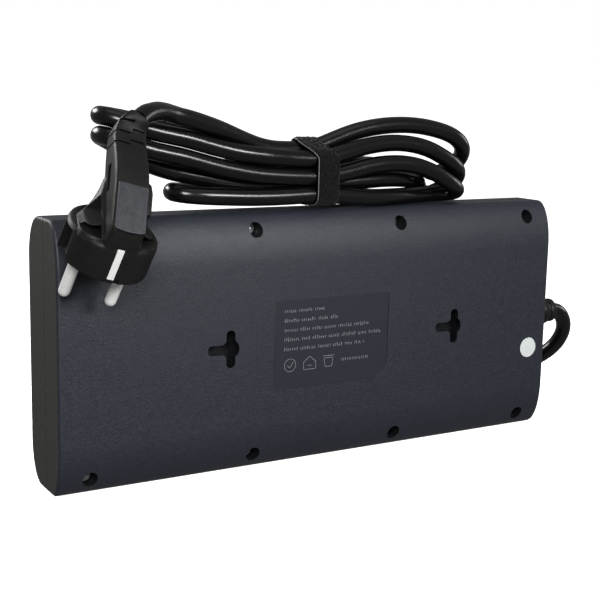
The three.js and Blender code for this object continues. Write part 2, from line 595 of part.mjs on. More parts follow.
// The neck bends from the arm's end towards the cord.
const onArm = (along) => new THREE.Vector3(0, ...armPoint(along, ARM_END))
  .applyQuaternion(plug.quaternion).add(PLUG_FACE).toArray();
const NECK_ROUTE = [onArm(ARM + CLEAR), onArm(ARM + 2), beyondTip(-4), beyondTip(-1), NECK_TIP];
const NECK_D = 9.6;
addGeometry('plug_neck', tube(NECK_ROUTE, NECK_D, 12, 7), DARK);

export default strip;
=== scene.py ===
import math
import random

import bmesh
import bpy
import numpy as np
from mathutils import Matrix, Vector


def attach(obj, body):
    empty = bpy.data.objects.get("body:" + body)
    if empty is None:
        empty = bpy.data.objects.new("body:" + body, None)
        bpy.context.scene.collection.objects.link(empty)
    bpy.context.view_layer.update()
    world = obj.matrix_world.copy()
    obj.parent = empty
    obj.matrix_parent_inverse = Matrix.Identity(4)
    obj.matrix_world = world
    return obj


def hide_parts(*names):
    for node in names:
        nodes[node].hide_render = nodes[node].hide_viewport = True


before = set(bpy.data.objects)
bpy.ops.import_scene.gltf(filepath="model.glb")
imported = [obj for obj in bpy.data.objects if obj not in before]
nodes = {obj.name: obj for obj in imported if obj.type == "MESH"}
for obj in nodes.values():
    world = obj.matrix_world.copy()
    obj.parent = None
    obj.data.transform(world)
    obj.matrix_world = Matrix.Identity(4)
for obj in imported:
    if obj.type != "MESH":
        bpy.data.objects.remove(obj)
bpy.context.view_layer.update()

MM = 0.001

# ---------- dimensions, as in the CAD (mm) ----------
LENGTH, HEIGHT = 257, 115
BACK_Y, FRONT_Y, RIM_Y = 19.5, -16, -19.7
SPLIT_Y, SPLIT_GAP, WALL, CLEAR = 3.3, 0.3, 2.2, 0.3
BACK_EDGE, FRONT_EDGE = (9.5, 22), (11.5, 18.5)
SCREW_COLUMNS, SCREW_ROWS = (-114.5, -38.1, 38.1, 114.5), (7.2, 107.8)
KEYHOLES = ((51, 56.8), (-70, 56.8))
LABEL = dict(x0=-31.2, x1=29.6, z0=35.8, z1=76, cut=7.5, depth=0.3)
SOCKET_COLUMNS, SOCKET_ROWS = (98, 41, -16), (81.5, 33.5)
WELL_R, CUP_R, FLANGE_R, WELL_FLOOR_Y = 19.5, 21.5, 23, -2.2
SWITCH = dict(x=-92, z=84, half_x=11, half_z=15.1, back_y=8, pivot_y=-10.94, tilt=math.radians(8))
ROCKER_HALF_X = 8.45
USB_X, USB_ROWS = -92, (20, 30, 40)
CORD_D = 7.8
GLAND = dict(z=56, r=6.8, tip_r=5.2, tip_x=-147)
BORE_R, SHANK_R, TOWER_R, BOSS_R = 3.3, 1.6, 4.8, 3.4
KEYHOLE_R, KEYHOLE_SLOT_HALF = 4.1, 2.15
PIN_HALF_PITCH = 9.5
ROUTE_STEP, CURVE_STEP = 2.5, 1.3


# ---------- camera ----------
camera = bpy.data.objects.new("camera", bpy.data.cameras.new("camera"))
bpy.context.scene.collection.objects.link(camera)
camera.data.lens = 71.3
camera.data.sensor_width = 36
camera.data.clip_start = 0.01
right = Vector((-0.86035, 0.50925, 0.02125))
up = Vector((-0.07301, -0.16438, 0.98369))
forward = Vector((-0.50444, -0.84477, -0.17861))
turn = Matrix((right, up, -forward)).transposed().to_4x4()
camera.matrix_world = Matrix.Translation(Vector((282.397, 464.164, 169.941)) * MM) @ turn
bpy.context.scene.camera = camera
bpy.context.scene.view_settings.view_transform = "Standard"


# ---------- materials ----------
def material(name, color, roughness, metallic=0.0, grain=(), mottle=0.0, mottle_size=8.0, coat=0.0,
             sheen=0.0, rough_spread=0.0, streak=None, ior=1.45):
    """grain lists (size in mm, height in mm) of bump layers; mottle is the spread of the colour's value."""
    made = bpy.data.materials.new(name)
    made.use_nodes = True
    tree = made.node_tree
    shader = tree.nodes["Principled BSDF"]
    shader.inputs["Base Color"].default_value = (*color, 1)
    shader.inputs["Roughness"].default_value = roughness
    shader.inputs["Metallic"].default_value = metallic
    shader.inputs["IOR"].default_value = ior
    if coat:
        shader.inputs["Coat Weight"].default_value = coat
        shader.inputs["Coat Roughness"].default_value = 0.12
    if sheen:
        shader.inputs["Sheen Weight"].default_value = sheen
        shader.inputs["Sheen Roughness"].default_value = 0.45
    where = tree.nodes.new("ShaderNodeTexCoord").outputs["Object"]
    if streak:
        stretch = tree.nodes.new("ShaderNodeMapping")
        stretch.inputs["Scale"].default_value = streak
        tree.links.new(where, stretch.inputs["Vector"])
        where = stretch.outputs["Vector"]

    def noise(size, detail=3.0, rough=0.6):
        node = tree.nodes.new("ShaderNodeTexNoise")
        node.inputs["Scale"].default_value = 1 / (size * MM)
        node.inputs["Detail"].default_value = detail
        node.inputs["Roughness"].default_value = rough
        tree.links.new(where, node.inputs["Vector"])
        return node.outputs["Fac"]

    if mottle:
        ramp = tree.nodes.new("ShaderNodeValToRGB")
        low = [c * (1 - mottle) for c in color]
        high = [min(1, c * (1 + mottle)) for c in color]
        ramp.color_ramp.elements[0].position, ramp.color_ramp.elements[1].position = 0.3, 0.7
        ramp.color_ramp.elements[0].color, ramp.color_ramp.elements[1].color = (*low, 1), (*high, 1)
        tree.links.new(noise(mottle_size, 5.0), ramp.inputs["Fac"])
        tree.links.new(ramp.outputs["Color"], shader.inputs["Base Color"])
    if rough_spread:
        spread = tree.nodes.new("ShaderNodeMapRange")
        spread.inputs["From Min"].default_value, spread.inputs["From Max"].default_value = 0.3, 0.7
        spread.inputs["To Min"].default_value = max(0.02, roughness - rough_spread)
        spread.inputs["To Max"].default_value = min(1, roughness + rough_spread)
        tree.links.new(noise(2.5, 6.0), spread.inputs["Value"])
        tree.links.new(spread.outputs["Result"], shader.inputs["Roughness"])
    normal = None
    for size, height in grain:
        bump = tree.nodes.new("ShaderNodeBump")
        bump.inputs["Distance"].default_value = height * MM
        bump.inputs["Strength"].default_value = 1.0
        tree.links.new(noise(size), bump.inputs["Height"])
        if normal is not None:
            tree.links.new(normal, bump.inputs["Normal"])
        normal = bump.outputs["Normal"]
    if normal is not None:
        tree.links.new(normal, shader.inputs["Normal"])
    return made


SHELL = material("shell", (0.0094, 0.0110, 0.0160), 0.44, grain=((0.5, 0.16), (1.3, 0.12)), mottle=0.32,
                 mottle_size=0.8, rough_spread=0.08, ior=1.33)
# The ends' higher roughness is their own duller finish; their warmer olive colour is painted warm light
# reflected on the ends.
SHELL_END_PAINTED_WARM_LIGHT = material("shell_end_painted_warm_light", (0.0155, 0.0158, 0.0135), 0.6, grain=((0.7, 0.14), (1.8, 0.12)),
                     mottle=0.25,
                     mottle_size=1.0, rough_spread=0.06, ior=1.3)
FIELD = material("rating_field", (0.0100, 0.0114, 0.0158), 0.42, grain=((0.6, 0.02),), mottle=0.1,
                 mottle_size=1.5,
                 ior=1.31)
# Darker colour for the insides of the screw bores and keyholes: painted shade.
CAVITY_PAINTED_SHADE = material("painted_cavity_shade", (0.0035, 0.0038, 0.0048), 0.6, grain=((0.5, 0.05),), mottle=0.2, ior=1.2)
INK = material("marks", (0.085, 0.088, 0.098), 0.6, mottle=0.25, mottle_size=1.0)
INSERT = material("insert", (0.016, 0.017, 0.019), 0.38, grain=((0.4, 0.02),), mottle=0.1, mottle_size=2)
SHUTTER = material("shutter", (0.22, 0.225, 0.235), 0.45, grain=((0.6, 0.01),), mottle=0.06)
BRASS = material("brass", (0.62, 0.43, 0.17), 0.3, 1.0, mottle=0.12, mottle_size=3, rough_spread=0.08)
STEEL = material("steel", (0.52, 0.53, 0.54), 0.3, 1.0, mottle=0.08, mottle_size=2, rough_spread=0.08)
SWITCH_BLACK = material("switch_black", (0.012, 0.012, 0.013), 0.35, grain=((0.5, 0.012),), mottle=0.1)
ROCKER_RED = material("rocker_red", (0.42, 0.012, 0.014), 0.22, coat=0.5, mottle=0.06, mottle_size=5)
WHITE_MARK = material("white_mark", (0.78, 0.78, 0.76), 0.5, mottle=0.05)
BOARD = material("board", (0.018, 0.075, 0.03), 0.4, mottle=0.2, mottle_size=2)
COIL = material("coil", (0.55, 0.36, 0.05), 0.45, mottle=0.12, mottle_size=2)
GROMMET = material("grommet", (0.005, 0.005, 0.0055), 0.4, grain=((0.5, 0.015),), mottle=0.15, mottle_size=2,
                   ior=1.25)
CORD = material("cord", (0.0014, 0.0014, 0.0015), 0.23, grain=((6.0, 0.05),), mottle=0.2, mottle_size=6,
                rough_spread=0.03, ior=1.36)
PLUG = material("plug", (0.0048, 0.0048, 0.0046), 0.45, grain=((0.45, 0.02),), mottle=0.12, mottle_size=3,
                rough_spread=0.05, ior=1.2)
PANEL = material("panel", (0.0125, 0.0133, 0.016), 0.40, grain=((0.5, 0.05), (1.4, 0.05)), mottle=0.35,
                 mottle_size=1.2, streak=(1.0, 1.0, 0.16), rough_spread=0.08, ior=1.35)
NICKEL = material("nickel", (0.56, 0.56, 0.55), 0.4, 0.35, mottle=0.03, mottle_size=2, rough_spread=0.06)
TIE = material("hook_and_loop", (0.0024, 0.0024, 0.0026), 0.9, ior=1.15, sheen=0.06,
               grain=((0.35, 0.25), (1.1, 0.25)),
               mottle=0.5, mottle_size=0.6)
# Lighter thin tube along one edge of the tie: a painted highlight.
TIE_EDGE_HIGHLIGHT = material("tie_edge_painted_highlight", (0.06, 0.06, 0.062), 0.5, mottle=0.2, mottle_size=1)
PAPER = material("paper", (0.36, 0.38, 0.375), 0.55, grain=((0.5, 0.006),), mottle=0.05, mottle_size=2)
LEAD_BROWN = material("lead_brown", (0.10, 0.035, 0.015), 0.4, mottle=0.1)
LEAD_BLUE = material("lead_blue", (0.02, 0.065, 0.33), 0.4, mottle=0.1)
LEAD_GREEN = material("lead_green", (0.27, 0.38, 0.03), 0.4, mottle=0.15, mottle_size=3)
TONGUE = material("tongue", (0.012, 0.012, 0.013), 0.4, mottle=0.1)


# ---------- mesh helpers: all shapes are lists of points in mm ----------
def mesh_of(points, faces, name="shape"):
    mesh = bpy.data.meshes.new(name)
    mesh.from_pydata([[c * MM for c in p] for p in points], [], faces)
    work = bmesh.new()
    work.from_mesh(mesh)
    bmesh.ops.remove_doubles(work, verts=work.verts, dist=2e-7)
    bmesh.ops.recalc_face_normals(work, faces=work.faces)
    work.to_mesh(mesh)
    work.free()
    return mesh


def prism(outline, axis, start, end):
    """outline is in (y, z) for axis x, (x, z) for axis y and (x, y) for axis z."""
    count = len(outline)
    place = {"x": lambda t, u, v: (t, u, v), "y": lambda t, u, v: (u, t, v), "z": lambda t, u,
             v: (u, v, t)}[axis]
    points = [place(t, u, v) for t in (start, end) for u, v in outline]
    faces = [tuple(range(count)), tuple(range(count, 2 * count))]
    faces += [(i, (i + 1) % count, count + (i + 1) % count, count + i) for i in range(count)]
    return mesh_of(points, faces)


def block(x0, x1, y0, y1, z0, z1):
    return prism([(x0, z0), (x1, z0), (x1, z1), (x0, z1)], "y", y0, y1)


def turned(profile, axis, centre, steps=96):
    """profile lists (radius, place along the axis); centre is the other two coordinates."""
    points, count = [], len(profile)
    for k in range(steps):
        a = 2 * math.pi * k / steps
        for r, t in profile:
            u, v = centre[0] + r * math.cos(a), centre[1] + r * math.sin(a)
            points.append({"x": (t, u, v), "y": (u, t, v), "z": (u, v, t)}[axis])
    faces = []
    for k in range(steps):
        for i in range(count - 1):
            a, b = k * count + i, ((k + 1) % steps) * count + i
            if profile[i][0] < 1e-9 and profile[i + 1][0] < 1e-9:
                continue
            if profile[i][0] < 1e-9:
                faces.append((a, a + 1, b + 1))
            elif profile[i + 1][0] < 1e-9:
                faces.append((a, a + 1, b))
            else:
                faces.append((a, a + 1, b + 1, b))
    return mesh_of(points, faces)


def loft(rings, caps=True):
    count = len(rings[0])
    points = [p for ring in rings for p in ring]
    faces = []
    for k in range(len(rings) - 1):
        for i in range(count):
            j = (i + 1) % count
            faces.append((k * count + i, k * count + j, (k + 1) * count + j, (k + 1) * count + i))
    if caps:
        faces += [tuple(range(count)), tuple(range((len(rings) - 1) * count, len(rings) * count))]
    return mesh_of(points, faces)


def rounded(x0, x1, z0, z1, r, steps=6):
    corners = ((x1 - r, z1 - r, 0), (x0 + r, z1 - r, 1), (x0 + r, z0 + r, 2), (x1 - r, z0 + r, 3))
    return [(cx + r * math.cos((q + i / steps) * math.pi / 2),
             cz + r * math.sin((q + i / steps) * math.pi / 2))
            for cx, cz, q in corners for i in range(steps + 1)]


def circle(x, z, r, steps=48):
    return [(x + r * math.cos(2 * math.pi * i / steps), z + r * math.sin(2 * math.pi * i / steps))
            for i in range(steps)]


def shown(mesh, name):
    made = bpy.data.objects.new(name, mesh)
    bpy.context.scene.collection.objects.link(made)
    return made


def bake(piece):
    """Apply the piece's modifiers."""
    graph = bpy.context.evaluated_depsgraph_get()
    mesh = bpy.data.meshes.new_from_object(piece.evaluated_get(graph))
    piece.modifiers.clear()
    piece.data = mesh
    return piece


def combine(piece, tools, operation):
    helpers = []
    for tool in tools:
        helper = shown(tool, "tool")
        helpers.append(helper)
        step = piece.modifiers.new(operation.lower(), "BOOLEAN")
        step.operation = operation
        step.solver = "EXACT"
        step.object = helper
    bpy.context.view_layer.update()
    bake(piece)
    for helper in helpers:
        bpy.data.objects.remove(helper)
    return piece


def bevel(piece, width, segments=2, angle=50):
    step = piece.modifiers.new("bevel", "BEVEL")
    step.width = width * MM
    step.segments = segments
    step.limit_method = "ANGLE"
    step.angle_limit = math.radians(angle)
    return bake(piece)


def finish(piece, look, body="housing", replaces=(), sharp=38, weighted=True):
    if len(piece.data.materials) < 2:
        piece.data.materials.clear()
        piece.data.materials.append(look)
    piece.data.polygons.foreach_set("use_smooth", [True] * len(piece.data.polygons))
    piece.data.set_sharp_from_angle(angle=math.radians(sharp))
    if weighted:
        step = piece.modifiers.new("normals", "WEIGHTED_NORMAL")
        step.keep_sharp = True
        step.weight = 100
        bake(piece)
    if replaces:
        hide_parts(*replaces)
    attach(piece, body)
    return piece


# ---------- cord: one route from the grommet, behind the strip, through the hank to the plug ----------
# The lead follows the CAD's lead.
LEAD = [
    (-147.3, 3.3, 56), (-149, 3.3, 56), (-152.6, 3.1, 54), (-157, 2.2, 49), (-158.8, 0, 42),
    (-156.8, -4.6, 33.5), (-150, -12.2, 25.5), (-139.8, -20.6, 20), (-127.5, -28.5, 17.5),
    (-116.5, -32.6, 21.5), (-109.5, -33, 31.5), (-107.6, -30, 45), (-109, -25.6, 60), (-111.4, -22.6, 76),
    (-112, -21.6, 90), (-108.5, -21, 101), (-100, -20.8, 107), (-89, -20.6, 109), (-80.5, -20.8, 112),
    (-75.6, -19.8, 117.4), (-72.5, -16, 121.5),
]
# Seven runs through the tie, with three folds at each end.
RUN_1 = [(-67, -9.5, 123), (-58, -3, 125.3), (-48, 2, 126.8), (-37, 3.5, 127.2), (-24, 3.6, 126.5),
         (-10, 3.4, 125.8), (1, 3.4, 125.6), (14, 3.4, 125.2), (28, 4, 125.6), (43, 4.5, 126.6),
         (57, 4, 129.6), (70, 2, 132), (82, -1, 136), (91, -4, 142)]
FOLD_1 = [(97.5, -5.8, 145.8), (102.6, -2.8, 147.8), (104.4, 2.8, 148.5), (101.8, 8.4, 147.9)]
RUN_2 = [(95, 11, 145.3), (85.3, 11.3, 142.4), (69.8, 11.3, 139.3), (54.6, 11.3, 135.1), (38, 11.3, 131.5),
         (23.7, 11.3, 130.2), (10, 11.3, 129.5), (1, 11.3, 129.5), (-8, 10.8, 130.4), (-25.4, 10, 134),
         (-42, 9.5, 134.8), (-55, 9.5, 132.7), (-64.5, 9.3, 129)]
FOLD_2 = [(-72, 9.3, 124.6), (-78.5, 8, 121.4), (-81.2, 3.2, 119.6), (-78.8, -1.6, 119), (-72, -3.6, 118.9)]
RUN_3 = [(-64, -2, 118.9), (-52, 3, 118.9), (-38, 7, 118.9), (-24, 9.2, 119), (-10, 10.6, 120.6),
         (1, 11.3, 121.7), (12, 11.3, 121.5), (23.6, 11.3, 121.2), (38, 11.2, 121.3), (50, 11, 121.9),
         (58, 10.6, 122.3)]
FOLD_3 = [(65, 9.4, 122.8), (70.5, 7.6, 123.4), (73, 3, 124), (70.5, -1.8, 124), (65.5, -3.9, 123.2)]
RUN_4 = [(58, -4.6, 122.4), (45, -4.6, 121), (23, -4.4, 120.6), (1, -4.4, 121.7), (-12, -5.5, 119.6),
         (-26, -7.5, 117.8), (-42, -9.5, 117.2), (-56, -11, 117.4), (-68, -11, 118)]
FOLD_4 = [(-78, -9.5, 119.5), (-84.5, -4.5, 123), (-84, 1, 128)]
RUN_5 = [(-79, 4.5, 132.6), (-70, 5.5, 137), (-60, 6, 141.4), (-43.5, 6, 144.1), (-27.7, 7, 143.2),
         (-10, 9.8, 139.8), (1, 11.3, 137.3), (10.3, 11.3, 137.2), (23.9, 11.3, 138.6), (38.2, 11.3, 140.6),
         (54.7, 11.3, 143.1), (69.8, 11.2, 146.6), (85.3, 10.2, 149.6)]
FOLD_5 = [(95, 8.8, 153.2), (102, 5.4, 155.6), (104, 0, 156), (100.8, -5.4, 155.8)]
RUN_6 = [(92, -7, 154.6), (78, -5.5, 151.6), (62, -3.5, 147.4), (46, -1.5, 141.8), (30, 1, 136.6),
         (15, 3, 133.8), (1, 3.4, 133.4), (-14, 1, 133.4), (-30, -2.5, 133.6), (-44, -6.5, 132),
         (-56, -10, 129.4), (-67, -12, 126.8)]
FOLD_6 = [(-78, -11.5, 126.8), (-86, -8.5, 130.5), (-88.5, -3, 136.5), (-85.5, 1, 142.5)]
RUN_7 = [(-78, 2, 147.2), (-66, 2, 150.4), (-53.4, 2, 152.1), (-37.3, 2, 151.8), (-21.7, 2, 149.3),
         (-8.9, 2.6, 145.3), (1, 3.4, 141.8), (10, 3.6, 140.9), (19, 4.2, 140.5), (28, 5.5, 141.4),
         (38, 7, 144.2), (47, 8.5, 147.4), (58, 10.8, 151.8), (67, 12.8, 154.6)]
TAIL = [(75, 15.2, 156), (80.5, 18.2, 157.4), (87.5, 23.2, 158.1), (95.6, 29, 156.6), (98.4, 30.87, 155)]


def smooth_path(points, spacing):
    """A centripetal Catmull-Rom line through the points, resampled at an even spacing."""
    p = np.array(points, float)
    p = np.vstack([2 * p[0] - p[1], p, 2 * p[-1] - p[-2]])
    line = []
    for a, b, c, d in zip(p[:-3], p[1:-2], p[2:-1], p[3:]):
        t = np.cumsum([0] + [math.sqrt(np.linalg.norm(v)) for v in (b - a, c - b, d - c)])
        for s in np.linspace(t[1], t[2], 12, endpoint=False):
            ab = ((t[1] - s) * a + (s - t[0]) * b) / (t[1] - t[0])
            bc = ((t[2] - s) * b + (s - t[1]) * c) / (t[2] - t[1])
            cd = ((t[3] - s) * c + (s - t[2]) * d) / (t[3] - t[2])
            abc = ((t[2] - s) * ab + (s - t[0]) * bc) / (t[2] - t[0])
            bcd = ((t[3] - s) * bc + (s - t[1]) * cd) / (t[3] - t[1])
            line.append(((t[2] - s) * abc + (s - t[1]) * bcd) / (t[2] - t[1]))
    line.append(p[-2])
    return respace(np.array(line), spacing)


def respace(line, spacing):
    run = np.concatenate([[0], np.cumsum(np.linalg.norm(np.diff(line, axis=0), axis=1))])
    count = max(2, round(run[-1] / spacing) + 1)
    at = np.linspace(0, run[-1], count)
    return np.stack([np.interp(at, run, line[:, i]) for i in range(3)], 1)


def top_of_strip(y):
    """Height of the case's upper surface at each y, or a low value beside it."""
    back = (y - (BACK_Y - BACK_EDGE[0])) / BACK_EDGE[0]
    front = ((FRONT_Y + FRONT_EDGE[0]) - y) / FRONT_EDGE[0]
    over_back = HEIGHT - BACK_EDGE[1] * (1 - np.sqrt(np.clip(1 - np.clip(back, 0, 1) ** 2, 0, 1)))
    over_front = HEIGHT - FRONT_EDGE[1] * (1 - np.sqrt(np.clip(1 - np.clip(front, 0, 1) ** 2, 0, 1)))
    return np.minimum(over_back, over_front)


def settle(line, fixed_start, fixed_end, rounds=160):
    """Push touching runs apart towards one diameter, while keeping the line smooth and near its route."""
    guide, p = line.copy(), line.copy()
    count = len(p)
    weight = np.ones(count)
    weight[:fixed_start] = 0
    weight[count - fixed_end:] = 0
    index = np.arange(count)
    far_apart = np.abs(index[:, None] - index[None, :]) > 8
    gap = CORD_D + 0.12
    for _ in range(rounds):
        middle = (p[:-2] + p[2:]) / 2
        move = np.zeros_like(p)
        move[1:-1] += 0.25 * (middle - p[1:-1])
        move += 0.05 * (guide - p)
        p += move * weight[:, None]
        for _ in range(2):
            d = p[:, None, :] - p[None, :, :]
            dist = np.linalg.norm(d, axis=2)
            near = far_apart & (dist < gap)
            push = np.where(near, (gap - dist) / np.maximum(dist, 1e-6), 0.0)
            shift = 0.5 * (push[:, :, None] * d)
            total = shift.sum(1) / np.maximum(near.sum(1), 1)[:, None]
            p += total * weight[:, None] * 0.9
        on_top = (p[:, 2] > 100) & (p[:, 0] > -LENGTH / 2 - 3)
        floor = top_of_strip(p[:, 1]) + CORD_D / 2
        low = on_top & (p[:, 2] < floor) & (p[:, 1] > -13) & (p[:, 1] < 17)
        p[:, 2] = np.where(low, np.where(weight > 0, floor, p[:, 2]), p[:, 2])
    return p


ROUTE = (LEAD + RUN_1 + FOLD_1 + RUN_2 + FOLD_2 + RUN_3 + FOLD_3 + RUN_4 + FOLD_4 + RUN_5 + FOLD_5 + RUN_6
         + FOLD_6 + RUN_7 + TAIL)
coarse = smooth_path(ROUTE, ROUTE_STEP)
lead_length = len(smooth_path(LEAD, ROUTE_STEP)) - 6
centreline = settle(coarse, lead_length, 12)
centreline = smooth_path(np.vstack([centreline[:-2:2], centreline[-1:]]), CURVE_STEP)

data = bpy.data.curves.new("cord", "CURVE")
data.dimensions = "3D"
spline = data.splines.new("POLY")
spline.points.add(len(centreline) - 1)
for point, place in zip(spline.points, centreline):
    point.co = (*(place * MM), 1)
data.bevel_depth = CORD_D / 2 * MM
data.bevel_resolution = 7
data.use_fill_caps = True
data.twist_mode = "MINIMUM"
spline.use_smooth = True
data.materials.append(CORD)
cord = bpy.data.objects.new("mains_cord", data)
bpy.context.scene.collection.objects.link(cord)
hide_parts("cord_lead", "cord_hank", "cord_tail")
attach(cord, "housing")


# ---------- case ----------
def section(inset, steps=14):
    made = []
    corners = ((BACK_EDGE, BACK_Y, HEIGHT), (FRONT_EDGE, FRONT_Y, HEIGHT), (FRONT_EDGE, FRONT_Y, 0),
               (BACK_EDGE, BACK_Y, 0))
    for quarter, ((depth, height), y, z) in enumerate(corners):
        cy, cz = y - math.copysign(depth, y), z - (height if z > 0 else -height)
        for i in range(steps + 1):
            a = (quarter + i / steps) * math.pi / 2
            made.append((cy + (depth - inset) * math.cos(a), cz + (height - inset) * math.sin(a)))
    return made


def case_block(inset, edge):
    half = LENGTH / 2 - inset
    rings = []
    bend = [k / 5 * math.pi / 2 for k in range(6)]
    xs = [(-half + edge * (1 - math.sin(a)), edge * (1 - math.cos(a))) for a in reversed(bend)]
    xs.sort()
    inner = np.linspace(-half + edge, half - edge, 42)[1:-1]
    places = xs + [(x, 0) for x in inner] + [(-x, e) for x, e in reversed(xs)]
    for x, e in places:
        rings.append([(x, y, z) for y, z in section(inset + e)])
    return loft(rings)


def keyhole_tools(x, z):
    y0, y1, slot = BACK_Y - WALL - 1, BACK_Y + 2, KEYHOLE_SLOT_HALF
    return [
        prism(circle(x, z, KEYHOLE_R), "y", y0, y1),
        prism(rounded(x - slot, x + slot, z - 8.3, z + 8.3, 2.0), "y", y0, y1),
        prism(rounded(x - 1, x + 11, z - slot, z + slot, 1.9), "y", y0, y1),
    ]


def field_outline(inset):
    x0, x1, z0, z1 = LABEL["x0"] + inset, LABEL["x1"] - inset, LABEL["z0"] + inset, LABEL["z1"] - inset
    return [(x0 + LABEL["cut"], z0), (x1, z0), (x1, z1), (x0, z1), (x0, z0 + LABEL["cut"])]


def finishes_and_painted_light(piece):
    """The flat ends have a duller finish than the faces and a warmer colour that is painted warm light; the
    insides of the screw bores and keyholes are painted dark as painted shade.
    """
    piece.data.materials.clear()
    piece.data.materials.append(SHELL)
    piece.data.materials.append(SHELL_END_PAINTED_WARM_LIGHT)
    piece.data.materials.append(CAVITY_PAINTED_SHADE)
    for face in piece.data.polygons:
        x, y, z = face.center / MM
        in_keyhole = any(abs(x - kx) < 12 and abs(z - kz) < 9.5 for kx, kz in KEYHOLES)
        in_bore = any(math.hypot(x - sx, z - sz) < 3.45 for sx in SCREW_COLUMNS for sz in SCREW_ROWS)
        face.material_index = 0
        # Flat ends: duller finish plus a warmer colour that is painted warm light.
        if abs(x) > LENGTH / 2 - 0.2 and abs(face.normal.x) > 0.9:
            face.material_index = 1
        # Insides of the keyholes and screw bores get the darker colour: painted shade.
        elif y > 5 and (in_keyhole and y < BACK_Y - 0.4 or in_bore and abs(face.normal.y) < 0.5):
            face.material_index = 2


def gland_cut():
    neck = GLAND["r"] - 0.3
    return turned([(0, -140), (neck, -140), (neck, -120), (0, -120)], "x", (SPLIT_Y, GLAND["z"]), 48)


def post(x, z, radius, y0, y1, name):
    """A round post, cut to the outside of the case."""
    made = shown(prism(circle(x, z, radius, 32), "y", y0, y1), name)
    combine(made, [case_block(0.4, 1.5)], "INTERSECT")
    mesh = made.data
    bpy.data.objects.remove(made)
    return mesh


def rear_cover():
    piece = shown(case_block(0, 1.5), "rear_shell")
    combine(piece, [block(-200, 200, SPLIT_Y + SPLIT_GAP / 2, 60, -20, 140)], "INTERSECT")
    hollow = case_block(WALL, 0.5)
    combine(piece, [hollow], "DIFFERENCE")
    adds, cuts = [], []
    for z in SCREW_ROWS:
        for x in SCREW_COLUMNS:
            adds.append(post(x, z, TOWER_R, SPLIT_Y + SPLIT_GAP / 2, BACK_Y, "tower"))
            cuts.append(prism(circle(x, z, BORE_R, 40), "y", 7.2, BACK_Y + 6))
            cuts.append(prism(circle(x, z, SHANK_R, 20), "y", 0, 9))
    for x, z in KEYHOLES:
        adds.append(block(x - 12.7, x + 12.7, 11.3, BACK_Y - WALL + 0.2, z - 10, z + 10))
        cuts.append(block(x - 11.6, x + 11.6, 12.4, BACK_Y - WALL, z - 8.9, z + 8.9))
        cuts += keyhole_tools(x, z)
    cuts.append(gland_cut())
    combine(piece, adds, "UNION")
    combine(piece, cuts, "DIFFERENCE")
    bevel(piece, 0.28, 2)
    combine(piece, [prism(field_outline(0), "y", BACK_Y - LABEL["depth"], BACK_Y + 2)], "DIFFERENCE")
    finishes_and_painted_light(piece)
    finish(piece, SHELL, replaces=["rear_cover"])
    plate = shown(prism(field_outline(0.3), "y", BACK_Y - LABEL["depth"] - 0.02,
                        BACK_Y - LABEL["depth"] + 0.1),
                  "rating_field")
    bevel(plate, 0.05, 1)
    finish(plate, FIELD)


def front_cover():
    piece = shown(case_block(0, 1.5), "front_shell")
    combine(piece, [block(-200, 200, -60, SPLIT_Y - SPLIT_GAP / 2, -20, 140)], "INTERSECT")
    combine(piece, [case_block(WALL, 0.5)], "DIFFERENCE")
    adds, cuts = [], []
    for z in SCREW_ROWS:
        for x in SCREW_COLUMNS:
            adds.append(post(x, z, BOSS_R, FRONT_Y, SPLIT_Y - SPLIT_GAP / 2, "boss"))
            cuts.append(prism(circle(x, z, SHANK_R, 20), "y", -8.5, 6))
    for z in SOCKET_ROWS:
        for x in SOCKET_COLUMNS:
            cuts.append(prism(circle(x, z, CUP_R + 0.3, 96), "y", FRONT_Y - 3, FRONT_Y + 5))
    s = SWITCH
    cuts.append(prism(rounded(s["x"] - s["half_x"] - 0.3, s["x"] + s["half_x"] + 0.3,
                              s["z"] - s["half_z"] - 0.3,
                              s["z"] + s["half_z"] + 0.3, 0.8), "y", FRONT_Y - 3, FRONT_Y + 5))
    for z in USB_ROWS:
        cuts.append(prism(rounded(USB_X - 6.9, USB_X + 6.9, z - 3.2, z + 3.2, 0.6), "y", FRONT_Y - 3,
                          FRONT_Y + 5))
    cuts.append(gland_cut())
    combine(piece, adds, "UNION")
    combine(piece, cuts, "DIFFERENCE")
    bevel(piece, 0.28, 2)
    finishes_and_painted_light(piece)
    finish(piece, SHELL, replaces=["front_cover"])


rear_cover()
front_cover()


